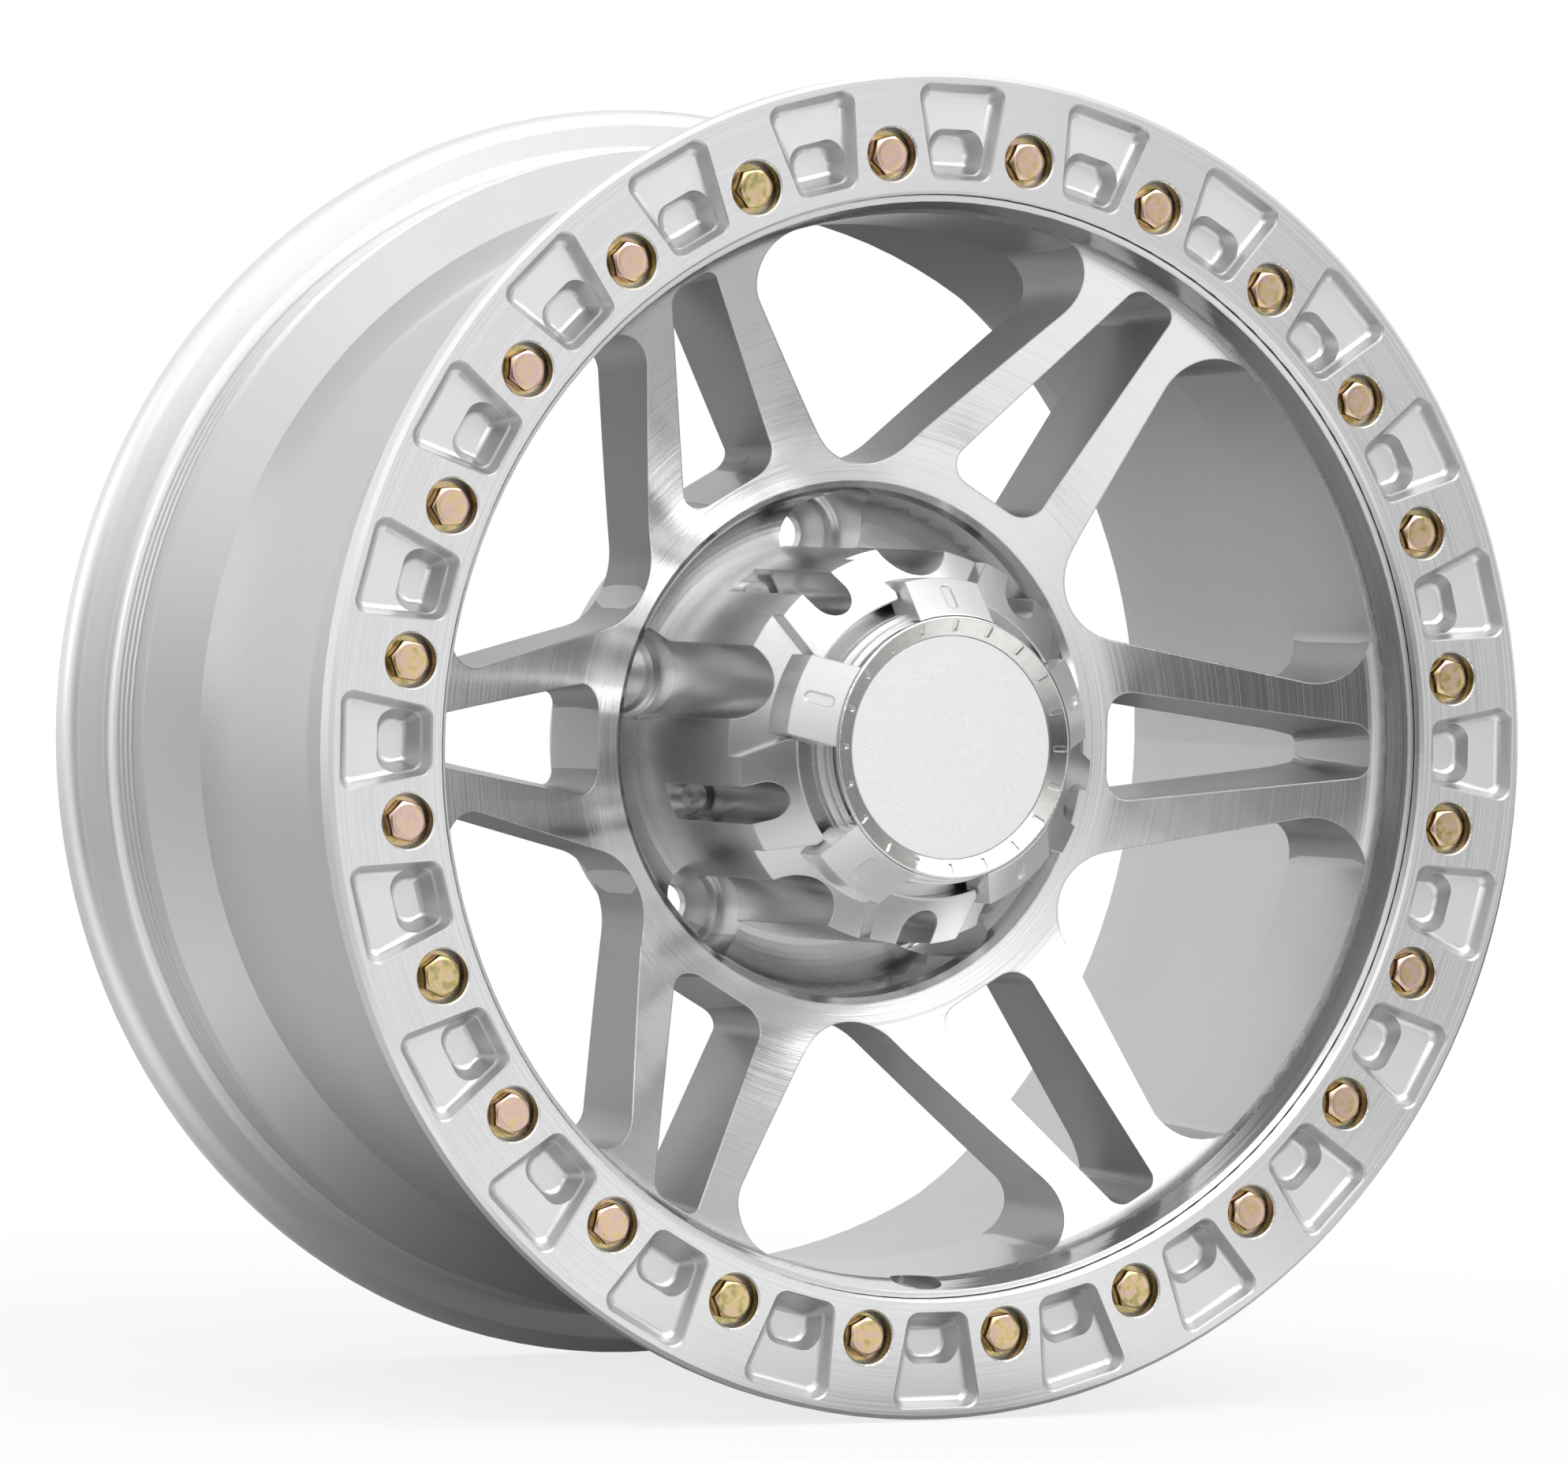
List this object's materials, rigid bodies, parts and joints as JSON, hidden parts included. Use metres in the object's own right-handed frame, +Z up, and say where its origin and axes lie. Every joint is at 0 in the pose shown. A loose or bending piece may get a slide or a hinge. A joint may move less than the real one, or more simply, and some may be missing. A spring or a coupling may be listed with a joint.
{
  "type": "car wheel",
  "caption": "Off-road car wheel with split spokes, a bolted bead-clamping outer ring with pockets between its bolts, and a tall fluted centre cap with a tabbed lid.",
  "frame": {"origin": "centre of the hub bore on the plane of the hub pad", "axes": "+Y along the wheel's axis towards the car, so the outer face looks along -Y; +Z up; one spoke lies along +X"},
  "size_m": [0.472, 0.2592, 0.472],
  "materials": {
    "cast_aluminium": "turned bright face, silver paint on the barrel and in the windows",
    "ring_aluminium": "satin machined with bright chamfers",
    "plated_steel": "yellow zinc plating",
    "cap_aluminium": "satin silver",
    "screw_steel": "bright steel",
    "seal_rubber": "matt black",
    "trim_metal": "polished",
    "disc_aluminium": "fine satin"
  },
  "bodies": {
    "root": {"wheel_casting": "cast_aluminium", "beadlock_ring": "ring_aluminium", "ring_bolts": "plated_steel", "ring_washers": "plated_steel", "cap_body": "cap_aluminium", "cap_screws": "screw_steel", "cap_lid": "cap_aluminium", "lid_seal": "seal_rubber", "trim_ring": "trim_metal", "centre_disc": "disc_aluminium"}
  },
  "joints": []
}
